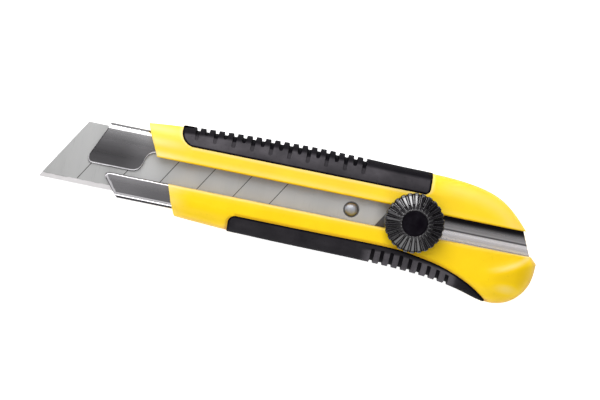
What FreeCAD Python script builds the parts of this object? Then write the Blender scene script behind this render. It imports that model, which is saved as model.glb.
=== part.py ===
import FreeCAD, Part
import math
import os
import Sketcher

# A utility knife with a 25 mm snap-off blade and a wheel lock, in millimetres.
# X runs along the knife with the blade towards -X, Y runs across it with the toothed grip
# towards +Y, and Z rises from the back face (Z = 0) to the lock wheel on top.

os.makedirs("parts", exist_ok=True)
doc = FreeCAD.newDocument("UtilityKnife")

sizes = {
    # handle moulding
    "handleThick": 17.5,
    "handleRound": 8.3,
    "channelFloor": 5.6,
    "slotHalf": 4.8,
    "fitGap": 0.05,
    # grips, their teeth and finger grooves
    "upperGripFront": -47.3,
    "upperGripRear": 52.7,
    "upperGripEdge": 11.3,
    "lowerGripFront": -22.9,
    "lowerGripEdge": -11.66,
    "gripSkin": 3.5,
    "gripRidge": 16.1,
    "toothCount": 19,
    "toothFront": -42.0,
    "toothPitch": 3.7,
    "toothGap": 1.5,
    "toothDepth": 1.2,
    "fingerCount": 9,
    "fingerFront": 34.5,
    "fingerPitch": 3.8,
    "fingerGap": 1.5,
    # folded blade guide
    "guideHalf": 14.35,
    "guideHeight": 4.6,
    "guideSheet": 0.8,
    "guideFold": 2.2,
    "snoutTip": -81.9,
    "snoutEdge": -2.8,
    "snoutRear": -61.5,
    "lowerLipEdge": -5.0,
    "lowerLipFront": -74.0,
    "upperLipEdge": 6.1,
    "guideRear": 92.6,
    "mouthSlant": 4.3,
    # rivets that hold the guide
    "rivetFront": -34.0,
    "rivetPitch": 40.0,
    "rivetShank": 1.6,
    "rivetHead": 3.2,
    "rivetSeat": 2.4,
    # blade
    "bladeTip": -100.0,
    "bladeLow": -12.0,
    "bladeWide": 25.0,
    "bladeLong": 129.7,
    "bladeSlant": 15.6,
    "bladeThick": 0.7,
    "bevelWide": 2.0,
    "scoreFront": -86.2,
    "scorePitch": 14.64,
    "scoreGap": 0.35,
    "scoreDepth": 0.15,
    "bladeHole": 3.2,
    # slider
    "slideGap": 0.2,
    "plateThick": 1.2,
    "plateHalf": 12.5,
    "plateFront": 14.0,
    "plateRear": 60.0,
    "pinX": 23.9,
    "pinY": -0.4,
    "pinHalf": 2.7,
    "blockFront": 41.0,
    "blockRear": 57.5,
    "blockHalf": 4.45,
    "flangeFront": 47.5,
    "flangeHalf": 12.6,
    "flangeThick": 1.3,
    "blockRivetX": 53.5,
    "blockRivetY": 8.5,
    "blockRivetHalf": 1.25,
    # stud, clip, washers, wheel, threaded insert and cap, all on the wheel's axis
    "wheelX": 48.6,
    "wheelY": -0.3,
    "studHalf": 2.5,
    "studBase": 3.2,
    "studTop": 25.5,
    "clipLow": 24.4,
    "clipThick": 0.7,
    "clipHalf": 4.2,
    "clipNeck": 2.1,
    "washerLow": 17.6,
    "washerThick": 1.0,
    "washerHalf": 8.5,
    "waveLow": 18.65,
    "waveThick": 0.45,
    "waveHalf": 4.3,
    "wheelLow": 18.75,
    "wheelHalf": 11.75,
    "wheelTop": 26.6,
    "wheelRimTop": 23.2,
    "wheelHub": 5.2,
    "ribCount": 26,
    "ribGap": 0.95,
    "insertLow": 19.2,
    "insertTall": 4.0,
    "clipRoom": 4.6,
    "capHalf": 4.9,
    "capFit": 0.02,
    "capThick": 0.9,
}

sheet = doc.addObject("Spreadsheet::Sheet", "Sizes")
for row, (alias, value) in enumerate(sizes.items(), start=1):
    sheet.set(f"A{row}", alias)
    sheet.set(f"B{row}", str(value))
    sheet.setAlias(f"B{row}", alias)
doc.recompute()

subParts = []


def size(alias):
    # The value of one named cell of the sheet.
    return float(sheet.get(alias))


def vec(x, y, z=0.0):
    return FreeCAD.Vector(x, y, z)


# ---- sketches and features ----

def newBody(label):
    body = doc.addObject("PartDesign::Body", label)
    body.Label = label
    subParts.append(body)
    return body


def newSketch(body, name, role, height="0"):
    # A sketch on one of the body's own origin planes, raised along that plane's normal.
    sketch = body.newObject("Sketcher::SketchObject", name)
    plane = next(f for f in body.Origin.OriginFeatures if f.Role == role)
    sketch.AttachmentSupport = [(plane, "")]
    sketch.MapMode = "FlatFace"
    sketch.setExpression("AttachmentOffset.Base.z", height)
    return sketch


def named(expression):
    # Adds the sheet's name before each alias of an expression.
    words = expression.replace("(", " ( ").replace(")", " ) ").split()
    return " ".join("Sizes." + word if word in sizes else word for word in words)


def pinPoint(sketch, line, end, corner):
    # Ties one end of a line to a place given by two expressions.
    for kind, expression in zip(("DistanceX", "DistanceY"), corner):
        value = float(sketch.evalExpression(named(expression)))
        if abs(value) < 1e-9:
            axis = -2 if kind == "DistanceX" else -1
            sketch.addConstraint(Sketcher.Constraint("PointOnObject", line, end, axis))
            continue
        tie = sketch.addConstraint(Sketcher.Constraint(kind, -1, 1, line, end, value))
        sketch.setExpression(f"Constraints[{tie}]", named(expression))


def drawOutline(sketch, corners):
    # A closed outline of straight lines; each corner is a pair of expressions.
    places = [vec(*(float(sketch.evalExpression(named(part))) for part in c)) for c in corners]
    first = sketch.GeometryCount
    count = len(corners)
    for i in range(count):
        sketch.addGeometry(Part.LineSegment(places[i], places[(i + 1) % count]), False)
    for i in range(count):
        joint = Sketcher.Constraint("Coincident", first + i, 2, first + (i + 1) % count, 1)
        sketch.addConstraint(joint)
    for i in range(count):
        pinPoint(sketch, first + i, 1, corners[i])


def drawCircle(sketch, centre, radius):
    # A circle whose centre and radius are expressions.
    place = vec(*(float(sketch.evalExpression(named(part))) for part in centre))
    span = float(sketch.evalExpression(named(radius)))
    ring = sketch.addGeometry(Part.Circle(place, vec(0, 0, 1), span), False)
    tie = sketch.addConstraint(Sketcher.Constraint("Radius", ring, span))
    sketch.setExpression(f"Constraints[{tie}]", named(radius))
    pinPoint(sketch, ring, 3, centre)


def pad(body, sketch, length, name):
    feature = body.newObject("PartDesign::Pad", name)
    feature.Profile = sketch
    feature.setExpression("Length", named(length))
    sketch.Visibility = False
    return feature


def pocket(body, sketch, length, name, upwards=False):
    # A pocket of a set depth below its sketch, or above it.
    before = body.Tip.Shape.Volume
    feature = body.newObject("PartDesign::Pocket", name)
    feature.Profile = sketch
    feature.setExpression("Length", named(length))
    feature.Reversed = upwards
    doc.recompute()
    if feature.Shape.Volume > before - 1e-3:
        raise RuntimeError(f"{name} cuts nothing")
    return feature


def revolve(body, sketch, name):
    # A full turn of a profile in the XZ plane about the body's own Z axis.
    feature = body.newObject("PartDesign::Revolution", name)
    feature.Profile = sketch
    feature.ReferenceAxis = (sketch, ["V_Axis"])
    feature.Angle = 360.0
    return feature


def softenEdges(body, base, radius, name, chosen):
    # Rounds the edges of a feature that the test function picks.
    doc.recompute()
    names = [f"Edge{i}" for i, edge in enumerate(base.Shape.Edges, start=1) if chosen(edge)]
    feature = body.newObject("PartDesign::Fillet", name)
    feature.Base = (base, names)
    feature.Radius = radius
    doc.recompute()
    return feature


def addShape(label, shape):
    # A sub-part whose free-form shape is worked out from the sheet.
    feature = doc.addObject("Part::Feature", label)
    feature.Label = label
    feature.Shape = shape
    feature.Placement = FreeCAD.Placement()
    subParts.append(feature)
    return feature


# ---- the handle's rounded block, which the moulding and both grips share ----

# Places along the upper edge from the nose to the tail, and back along the lower edge.
upperEdge = [(-75.0, 16.0), (-49.0, 18.6), (-18.0, 20.2), (11.0, 20.75), (43.0, 20.2), (68.6, 19.05),
             (82.4, 14.9), (93.8, 4.8)]
lowerEdge = [(100.0, -7.0), (99.0, -15.4), (92.3, -23.8), (84.4, -25.9), (73.5, -23.6), (58.7, -20.85),
             (35.0, -19.4), (-18.0, -18.6), (-65.0, -15.6)]
tailMouth = (97.4, -4.6)
# how far the guide stands out of the tail beyond the moulding
mouthGap = 0.3
# how far the cutting blocks reach past the front and the back
beyond = 1.0


def curve(points):
    spline = Part.BSplineCurve()
    spline.interpolate([vec(x, y) for x, y in points])
    return spline.toShape()


def line(start, end):
    return Part.LineSegment(vec(*start), vec(*end)).toShape()


def prism(edges, low, high):
    # A closed outline of edges, drawn up from one height to another.
    face = Part.Face(Part.Wire(edges))
    face.translate(vec(0, 0, low))
    return face.extrude(vec(0, 0, high - low))


def polygon(points, low, high):
    ring = list(points) + [points[0]]
    return prism([line(a, b) for a, b in zip(ring, ring[1:])], low, high)


def box(x0, x1, y0, y1, z0, z1):
    return Part.makeBox(x1 - x0, y1 - y0, z1 - z0, vec(x0, y0, z0))


def handleBlock(inset):
    # The whole handle's outline with fully rounded sides, made thinner and narrower by an inset.
    upper = [(x, y - inset) for x, y in upperEdge]
    lower = [(x, y + inset) for x, y in lowerEdge]
    edges = [curve(upper), line(upper[-1], tailMouth), line(tailMouth, lower[0]), curve(lower),
             line(lower[-1], upper[0])]
    solid = prism(edges, inset, size("handleThick") - inset)
    flat = [e for e in solid.Edges if abs(e.Vertexes[0].Z - e.Vertexes[-1].Z) < 0.01]
    return solid.makeFillet(size("handleRound") - inset, flat)


def noseCut():
    # Everything ahead of the slanted nose: the upper rail reaches further forward than the lower one.
    far = 40.0
    front = [(-71.9, far), (-54.8, 4.8), (-48.5, -4.8), (-46.8, -11.5), (-44.8, -15.4), (-33.9, -far)]
    return polygon(front + [(-120.0, -far), (-120.0, far)], -beyond, size("handleThick") + beyond)


def tailCut():
    # The open mouth of the slot at the tail, slanted between the upper rail and the lobe below it.
    half, slant = size("slotHalf"), size("mouthSlant")
    start = size("guideRear") - mouthGap
    return polygon([(start, half), (start + slant, -half), (120.0, -half), (120.0, half)],
                   -beyond, size("handleThick") + beyond)


def upperGripRegion():
    front, rear, edge = size("upperGripFront"), size("upperGripRear"), size("upperGripEdge")
    far, bend, corner = 30.0, 6.0, 2.5
    frontArc = Part.Arc(vec(front, 18.0), vec(front + 1.4, 14.0), vec(front + bend, edge)).toShape()
    quarter = corner * (1 - math.sqrt(0.5))
    rearArc = Part.Arc(vec(rear - corner, edge), vec(rear - quarter, edge + quarter),
                       vec(rear, edge + corner)).toShape()
    edges = [line((front, far), (front, 18.0)), frontArc, line((front + bend, edge), (rear - corner, edge)),
             rearArc, line((rear, edge + corner), (rear, far)), line((rear, far), (front, far))]
    return prism(edges, -beyond, size("handleThick") + beyond)


def lowerGripRegion():
    front, edge = size("lowerGripFront"), size("lowerGripEdge")
    far, corner = -30.0, 3.0
    quarter = corner * (1 - math.sqrt(0.5))
    frontArc = Part.Arc(vec(front, edge - corner), vec(front + quarter, edge - quarter),
                        vec(front + corner, edge)).toShape()
    tail = [(39.0, edge), (53.7, -13.1), (68.6, -17.2), (82.0, -25.4), (86.0, far)]
    edges = [line((front, far), (front, edge - corner)), frontArc, line((front + corner, edge), tail[0]),
             curve(tail), line(tail[-1], (front, far))]
    return prism(edges, -beyond, size("handleThick") + beyond)


def gripRidges():
    # The ridges of the moulding that fill the backs of both grips, beside the guide.
    skin, reach = size("gripSkin"), size("gripRidge")
    top = size("handleThick") - skin
    upper = box(-60.0, 70.0, 0.0, reach, skin, top)
    lower = box(-40.0, 90.0, -reach, 0.0, skin, top)
    return upper.fuse(lower)


def toothGaps():
    # Slots across the upper grip; every second one runs on down the front and the back.
    gap = size("toothGap")
    boxes = []
    for i in range(int(size("toothCount"))):
        x = size("toothFront") + i * size("toothPitch")
        low = 14.2 if i % 2 == 0 else 17.0
        boxes.append(box(x, x + gap, low, 30.0, -beyond, size("handleThick") + beyond))
    return Part.makeCompound(boxes).cut(handleBlock(size("toothDepth")))


def fingerGaps():
    # Upright grooves in the lower grip, under the wheel.
    gap = size("fingerGap")
    boxes = []
    for i in range(int(size("fingerCount"))):
        x = size("fingerFront") + i * size("fingerPitch")
        low = -13.5 - 0.0045 * max(0.0, x - 42.0) ** 2
        boxes.append(box(x, x + gap, -30.0, low, -beyond, size("handleThick") + beyond))
    return Part.makeCompound(boxes).cut(handleBlock(size("toothDepth")))


def guideRoom():
    # The room for the guide along the whole handle, and the slot above it.
    gap = size("fitGap")
    low, half = size("channelFloor"), size("guideHalf") + gap
    high = low + size("guideHeight") + gap
    room = box(-120.0, 120.0, -half, half, low, high)
    longEdges = [e for e in room.Edges if e.Length > 200.0]
    room = room.makeFillet(size("guideFold"), longEdges)
    slot = box(-120.0, 120.0, -size("slotHalf"), size("slotHalf"), low + size("guideHeight") / 2, 40.0)
    return room.fuse(slot)


def rivetPlaces():
    return [vec(size("rivetFront") + i * size("rivetPitch"), 0.0) for i in range(3)]


def rivet(grow):
    # A countersunk rivet from the guide's floor to a flat head sunk in the back, grown all round.
    floor, sheetThick = size("channelFloor"), size("guideSheet")
    headLow, headHigh = (0.0, 1.4 + grow) if grow else (0.4, 1.4)
    head = Part.makeCylinder(size("rivetHead") + grow, headHigh - headLow, vec(0, 0, headLow))
    shank = Part.makeCylinder(size("rivetShank") + grow, floor - 1.0, vec(0, 0, 1.0))
    seat = Part.makeCone(size("rivetShank") + grow, size("rivetSeat") + grow, sheetThick, vec(0, 0, floor))
    return head.fuse([shank, seat]).removeSplitter()


def buildHandle():
    block = handleBlock(0.0).cut([noseCut(), tailCut()])
    ridges = gripRidges()
    upper = block.common(upperGripRegion()).cut([ridges, toothGaps()])
    lower = block.common(lowerGripRegion()).cut([ridges, fingerGaps()])
    core = block.cut([upperGripRegion().cut(ridges), lowerGripRegion().cut(ridges), guideRoom()])
    holes = []
    for place in rivetPlaces():
        hole = rivet(size("fitGap"))
        hole.translate(place)
        holes.append(hole)
    addShape("handle_body", core.cut(holes))
    addShape("upper_grip", upper)
    addShape("lower_grip", lower)


def buildRivets():
    rivets = []
    for place in rivetPlaces():
        one = rivet(0.0)
        one.translate(place)
        rivets.append(one)
    addShape("guide_rivets", Part.makeCompound(rivets))


# ---- the folded guide ----

def buildGuide():
    body = newBody("blade_guide")
    profile = newSketch(body, "guideProfile", "YZ_Plane", named("snoutTip"))
    low, high = "channelFloor", "channelFloor + guideHeight"
    drawOutline(profile, [("- guideHalf", low), ("guideHalf", low), ("guideHalf", high),
                          ("snoutEdge", high), ("snoutEdge", high + " - guideSheet"),
                          ("guideHalf - guideSheet", high + " - guideSheet"),
                          ("guideHalf - guideSheet", low + " + guideSheet"),
                          ("guideSheet - guideHalf", low + " + guideSheet"),
                          ("guideSheet - guideHalf", high + " - guideSheet"),
                          ("lowerLipEdge", high + " - guideSheet"), ("lowerLipEdge", high),
                          ("- guideHalf", high)])
    channel = pad(body, profile, "guideRear + mouthSlant - snoutTip", "guideChannel")
    outer = size("guideHalf") - 0.1
    inner = size("guideHalf") - size("guideSheet") - 0.1

    def outerFold(edge):
        return edge.Length > 100.0 and abs(edge.CenterOfMass.y) > outer

    def innerFold(edge):
        return edge.Length > 100.0 and inner < abs(edge.CenterOfMass.y) < outer

    folded = softenEdges(body, channel, size("guideFold"), "outerFolds", outerFold)
    softenEdges(body, folded, size("guideFold") - size("guideSheet"), "innerFolds", innerFold)

    # behind the snout the upper lip is narrow, so the blade shows in the slot
    opening = newSketch(body, "lipOpening", "XY_Plane", named("channelFloor + guideHeight + 1"))
    drawOutline(opening, [("snoutRear", "snoutEdge - 1"), ("snoutRear", "snoutEdge"),
                          ("snoutRear + 3.4", "upperLipEdge"), ("guideRear + 9", "upperLipEdge"),
                          ("guideRear + 9", "snoutEdge - 1")])
    lips = pocket(body, opening, "guideSheet + 1.5", "lipPocket")

    def openingCorner(edge):
        middle = edge.CenterOfMass
        upright = abs(edge.Vertexes[0].Z - edge.Vertexes[-1].Z) > 0.5
        near = size("snoutRear") - 1 < middle.x < size("snoutRear") + 4
        return upright and near and middle.y > size("snoutEdge") - 1.5

    softenEdges(body, lips, 2.6, "openingCorners", openingCorner)

    # the snout slants back from its lower corner up to the top, and the lower lip starts further back
    slant = newSketch(body, "snoutSlant", "XY_Plane", named("channelFloor + guideHeight + 1"))
    drawOutline(slant, [("snoutTip - 9", "snoutEdge - 0.2"), ("snoutTip - 0.5", "snoutEdge - 0.2"),
                        ("snoutTip + 8.3", "guideHalf + 1"), ("snoutTip - 9", "guideHalf + 1")])
    pocket(body, slant, "guideHeight + 2", "snoutCut")
    heel = newSketch(body, "heelSlant", "XY_Plane", named("channelFloor + guideHeight + 1"))
    drawOutline(heel, [("snoutTip - 9", "snoutEdge - 1.1"), ("snoutTip + 1", "snoutEdge - 1.1"),
                       ("lowerLipFront", "lowerLipEdge - 1.5"), ("lowerLipFront + 5.6", "- guideHalf - 1"),
                       ("snoutTip - 9", "- guideHalf - 1")])
    pocket(body, heel, "guideHeight + 2", "heelCut")
    tail = newSketch(body, "tailSlant", "XY_Plane", named("channelFloor + guideHeight + 1"))
    drawOutline(tail, [("guideRear", "slotHalf"), ("guideRear - 5.5", "slotHalf + 4.5"),
                       ("guideRear - 13", "guideHalf + 1"), ("guideRear + 9", "guideHalf + 1"),
                       ("guideRear + 9", "- guideHalf - 1"), ("guideRear + 3", "- guideHalf - 1"),
                       ("guideRear + mouthSlant", "- slotHalf")])
    pocket(body, tail, "guideHeight + 2", "tailCut")
    # countersinks for the rivets
    for i in range(3):
        hole = newSketch(body, f"rivetHole{i}", "XY_Plane", named("channelFloor + guideSheet"))
        drawCircle(hole, (f"rivetFront + {i} * rivetPitch", "0"), "rivetSeat + fitGap")
        pocket(body, hole, "guideSheet + 0.5", f"rivetSeat{i}")


# ---- blade and slider ----

def buildBlade():
    body = newBody("blade")
    low = "channelFloor + guideSheet + slideGap + plateThick"
    outline = newSketch(body, "bladeOutline", "XY_Plane", named(low))
    top = "bladeLow + bladeWide"
    drawOutline(outline, [("bladeTip", "bladeLow"), ("bladeTip + bladeLong", "bladeLow"),
                          ("bladeTip + bladeLong + bladeSlant", top), ("bladeTip + bladeSlant", top)])
    pad(body, outline, "bladeThick", "bladeStrip")
    doc.recompute()
    hole = newSketch(body, "pinHole", "XY_Plane", named(low + " + bladeThick"))
    drawCircle(hole, ("pinX", "pinY"), "bladeHole")
    pocket(body, hole, "bladeThick + 1", "bladeHoleCut")
    # the cutting edge is ground from both faces
    bevel = newSketch(body, "bevelProfile", "YZ_Plane", named("bladeTip - 1"))
    edge = "bladeLow - 0.1"
    inner = "bladeLow + bevelWide"
    for face, reach in ((low, "0.3"), (low + " + bladeThick", "- 0.3")):
        drawOutline(bevel, [(edge, f"{face} - {reach}"), (edge, f"{face} + {reach}"), (inner, face)])
    pocket(body, bevel, "bladeLong + bladeSlant + 2", "bevel", upwards=True)
    # one score line, repeated along the blade where the segments snap off
    score = newSketch(body, "scoreOutline", "XY_Plane", named(low + " + bladeThick"))
    topScore = "scoreFront + bladeSlant"
    drawOutline(score, [("scoreFront", "bladeLow"), ("scoreFront + scoreGap", "bladeLow"),
                        (topScore + " + scoreGap", top), (topScore, top)])
    cut = pocket(body, score, "scoreDepth", "scoreLine")
    lines = body.newObject("PartDesign::LinearPattern", "scoreLines")
    lines.Originals = [cut]
    lines.Direction = (score, ["H_Axis"])
    lines.setExpression("Length", named("5 * scorePitch"))
    lines.Occurrences = 6
    body.Tip = lines
    doc.recompute()


def buildSlidePlate():
    body = newBody("slider_plate")
    low = "channelFloor + guideSheet + slideGap"
    outline = newSketch(body, "plateOutline", "XY_Plane", named(low))
    nick = 3.0
    drawOutline(outline, [("plateFront", f"{nick} - plateHalf"), (f"plateFront + {nick}", "- plateHalf"),
                          (f"plateRear - {nick}", "- plateHalf"), ("plateRear", f"{nick} - plateHalf"),
                          ("plateRear", f"plateHalf - {nick}"), (f"plateRear - {nick}", "plateHalf"),
                          (f"plateFront + {nick}", "plateHalf"), ("plateFront", f"plateHalf - {nick}")])
    drawCircle(outline, ("wheelX", "wheelY"), "studBase")
    drawCircle(outline, ("pinX", "pinY"), "pinHalf - 0.7")
    for side in ("blockRivetY", "- blockRivetY"):
        drawCircle(outline, ("blockRivetX", side), "blockRivetHalf")
    pad(body, outline, "plateThick", "plateStrip")


def turned(label, points, x, y):
    # A piece turned about its own upright axis from a half profile of (radius, height) expressions.
    body = newBody(label)
    body.Placement.Base = vec(size(x), size(y))
    body.setExpression("Placement.Base.x", named(x))
    body.setExpression("Placement.Base.y", named(y))
    profile = newSketch(body, label + "Profile", "XZ_Plane")
    drawOutline(profile, points)
    return body, revolve(body, profile, label + "Turn")


def buildPin():
    low = "channelFloor + guideSheet + slideGap"
    neck = low + " + plateThick"
    crown = neck + " + bladeThick"
    turned("blade_pin", [("0", low), ("pinHalf - 0.7", low), ("pinHalf - 0.7", neck),
                         ("pinHalf", neck), ("pinHalf", crown + " + 0.3"),
                         ("pinHalf - 0.5", crown + " + 0.8"), ("pinHalf - 1.4", crown + " + 1.15"),
                         ("0", crown + " + 1.3")], "pinX", "pinY")


def buildBlock():
    body = newBody("slider_block")
    low = "channelFloor + guideSheet + slideGap + plateThick"
    flange = newSketch(body, "flangeOutline", "XY_Plane", named(low))
    rear = "plateRear - 0.5"
    drawOutline(flange, [("flangeFront", "- flangeHalf"), (rear, "- flangeHalf"), (rear, "flangeHalf"),
                         ("flangeFront", "flangeHalf")])
    for side in ("blockRivetY", "- blockRivetY"):
        drawCircle(flange, ("blockRivetX", side), "blockRivetHalf")
    pad(body, flange, "flangeThick", "flange")
    neck = newSketch(body, "neckOutline", "XY_Plane", named(low))
    drawOutline(neck, [("blockFront", "- blockHalf"), ("blockRear", "- blockHalf"),
                       ("blockRear", "blockHalf"), ("blockFront", "blockHalf")])
    pad(body, neck, f"washerLow - 0.3 - ( {low} )", "neck")
    doc.recompute()
    bore = newSketch(body, "boreOutline", "XY_Plane", named("washerLow + 1"))
    drawCircle(bore, ("wheelX", "wheelY"), "studHalf + fitGap")
    pocket(body, bore, "washerLow", "bore")


def buildBlockRivets():
    low = size("channelFloor") + size("guideSheet") + size("slideGap")
    high = low + size("plateThick") + size("flangeThick")
    reach = size("blockRivetY")
    rivets = [Part.makeCylinder(size("blockRivetHalf"), high - low, vec(size("blockRivetX"), y, low))
              for y in (-reach, reach)]
    addShape("block_rivets", Part.makeCompound(rivets))


def buildStud():
    low = "channelFloor + guideSheet + slideGap"
    neck = low + " + plateThick"
    clipHigh = "clipLow + clipThick"
    turned("lock_stud", [("0", low), ("studBase", low), ("studBase", neck), ("studHalf", neck),
                         ("studHalf", "clipLow"), ("clipNeck", "clipLow"), ("clipNeck", clipHigh),
                         ("studHalf", clipHigh), ("studHalf", "studTop - 0.2"),
                         ("studHalf - 0.2", "studTop"), ("0", "studTop")], "wheelX", "wheelY")


def buildClip():
    body, ring = turned("stud_clip", [("clipNeck", "clipLow"), ("clipHalf", "clipLow"),
                                      ("clipHalf", "clipLow + clipThick"),
                                      ("clipNeck", "clipLow + clipThick")], "wheelX", "wheelY")
    doc.recompute()
    mouth = newSketch(body, "clipMouth", "XY_Plane", named("clipLow + 2"))
    drawOutline(mouth, [("0", "0.2 - clipNeck"), ("clipHalf + 1", "0.2 - clipNeck"),
                        ("clipHalf + 1", "clipNeck - 0.2"), ("0", "clipNeck - 0.2")])
    pocket(body, mouth, "3", "clipOpening")


# ---- wheel ----

def buildWasher():
    turned("clamp_washer", [("studHalf + 0.2", "washerLow"), ("washerHalf", "washerLow"),
                            ("washerHalf", "washerLow + washerThick"),
                            ("studHalf + 0.2", "washerLow + washerThick")], "wheelX", "wheelY")


def buildWaveWasher():
    turned("wave_washer", [("studHalf + 0.2", "waveLow"), ("waveHalf", "waveLow"),
                           ("waveHalf", "waveLow + waveThick"),
                           ("studHalf + 0.2", "waveLow + waveThick")], "wheelX", "wheelY")


def buildWheel():
    insertTop = "insertLow + insertTall"
    capSeat = "wheelTop - capThick"
    body, turn = turned("lock_wheel", [("clipRoom", "wheelLow"), ("wheelHalf - 1", "wheelLow"),
                                       ("wheelHalf", "wheelLow + 1.4"), ("wheelHalf", "wheelRimTop - 0.9"),
                                       ("wheelHalf - 0.9", "wheelRimTop"), ("wheelHub", "wheelTop"),
                                       ("capHalf + capFit", "wheelTop"), ("capHalf + capFit", capSeat),
                                       ("clipRoom", capSeat), ("clipRoom", insertTop)],
                        "wheelX", "wheelY")
    doc.recompute()
    # one gap between two ribs: a notch down the rim, repeated round the wheel
    ribs = newSketch(body, "ribGap", "XY_Plane", named("wheelTop + 1"))
    drawOutline(ribs, [("wheelHalf - 0.8", "- ribGap / 2"), ("wheelHalf + 1", "- ribGap"),
                       ("wheelHalf + 1", "ribGap"), ("wheelHalf - 0.8", "ribGap / 2")])
    gap = pocket(body, ribs, "wheelTop + 2 - wheelLow", "ribSlot")
    slots = body.newObject("PartDesign::PolarPattern", "ribSlots")
    slots.Originals = [gap]
    slots.Axis = (ribs, ["N_Axis"])
    slots.Angle = 360.0
    slots.Occurrences = int(size("ribCount"))
    body.Tip = slots
    doc.recompute()


def buildInsert():
    # the knurled metal insert moulded into the wheel, with a waist that keeps it in
    top = "insertLow + insertTall"
    turned("thread_insert", [("studHalf + fitGap", "insertLow"), ("clipRoom", "insertLow"),
                             ("clipRoom", "insertLow + 1.5"), ("clipRoom - 0.5", "insertLow + 1.5"),
                             ("clipRoom - 0.5", top + " - 1.5"), ("clipRoom", top + " - 1.5"),
                             ("clipRoom", top), ("studHalf + fitGap", top)], "wheelX", "wheelY")


def buildCap():
    turned("hub_cap", [("0", "wheelTop - capThick"), ("capHalf", "wheelTop - capThick"),
                       ("capHalf", "wheelTop"), ("capHalf - 0.4", "wheelTop + 0.2"),
                       ("0", "wheelTop + 0.2")], "wheelX", "wheelY")


buildHandle()
buildRivets()
buildGuide()
buildBlade()
buildSlidePlate()
buildPin()
buildBlock()
buildBlockRivets()
buildStud()
buildClip()
buildWasher()
buildWaveWasher()
buildWheel()
buildInsert()
buildCap()
doc.recompute()

for item in doc.Objects:
    if "Invalid" in item.State or "Error" in item.State:
        raise RuntimeError(f"{item.Label} failed: {item.State}")
for part in subParts:
    if part.Shape.isNull() or not part.Shape.isValid():
        raise RuntimeError(f"{part.Label} has no valid shape")
for part in subParts:
    part.Shape.exportStep(f"parts/{part.Label}.step")
    print(part.Label, round(part.Shape.Volume), "mm3", len(part.Shape.Solids), "solid")
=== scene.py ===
import math

import bpy
import numpy as np
from mathutils import Matrix, Vector


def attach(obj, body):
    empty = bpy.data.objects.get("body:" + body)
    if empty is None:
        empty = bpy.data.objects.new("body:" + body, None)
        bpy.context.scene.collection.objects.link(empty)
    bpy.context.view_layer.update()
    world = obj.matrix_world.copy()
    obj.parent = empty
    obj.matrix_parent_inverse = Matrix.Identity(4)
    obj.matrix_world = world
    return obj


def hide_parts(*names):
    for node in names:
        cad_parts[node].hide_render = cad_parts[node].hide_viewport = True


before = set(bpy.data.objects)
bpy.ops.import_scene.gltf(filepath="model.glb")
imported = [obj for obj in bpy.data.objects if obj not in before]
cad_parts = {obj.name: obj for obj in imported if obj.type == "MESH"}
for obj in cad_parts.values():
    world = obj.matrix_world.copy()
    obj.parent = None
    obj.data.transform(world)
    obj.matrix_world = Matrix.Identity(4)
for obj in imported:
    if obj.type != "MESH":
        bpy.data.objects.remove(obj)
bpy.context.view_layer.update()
mm = 0.001

view = {
    "aim": (3.3, -0.8, 9.0),      # mm, the point in the middle of the picture
    "roll": 11.5,                 # degrees, the knife drops to the right
    "tilt": 2.0,                  # degrees, towards the toothed grip's side
    "distance": 800.0,            # mm from the aim
    "width": 237.0,               # mm across the picture at the aim
    "sensor": 36.0,
    "clipEnd": 10.0,              # m
}


def buildCamera():
    # Looks along its own -Z: turned by the roll about the upright, then tilted about its own X.
    camera = bpy.data.cameras.new("camera")
    camera.sensor_width = view["sensor"]
    camera.lens = view["sensor"] * view["distance"] / view["width"]
    camera.clip_end = view["clipEnd"]
    eye = bpy.data.objects.new("camera", camera)
    turn = Matrix.Rotation(math.radians(view["roll"]), 4, "Z")
    lean = Matrix.Rotation(math.radians(-view["tilt"]), 4, "X")
    back = Matrix.Translation((0.0, 0.0, view["distance"] * mm))
    eye.matrix_world = Matrix.Translation([v * mm for v in view["aim"]]) @ turn @ lean @ back
    bpy.context.collection.objects.link(eye)
    bpy.context.scene.camera = eye


studio = {
    # brightness of the surroundings by the height of the direction: a pale horizon, darker sides,
    # and a bright top, where flat metal finds its reflection
    "sky": [(0.0, 0.90), (0.16, 0.90), (0.30, 0.15), (0.70, 0.15), (0.955, 0.62)],
    "floorColour": (0.93, 0.93, 0.93),
    "floorGlow": 0.68,
    "floorRough": 0.9,
    "floorHalf": 3.0,             # m
    # name: place in mm, size in mm, watts
    "lights": {
        "keyPanel": ((-120, 300, 560), (640, 240), 1.5),
        "glintPanel": ((-170, 470, 360), (440, 100), 1.9),
        "leftPanel": ((-500, 20, 330), (220, 360), 0.40),
        "highPanel": ((60, 200, 640), (420, 200), 0.55),
        "lowFill": ((20, -470, 300), (640, 220), 1.15),
    },
}


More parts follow.
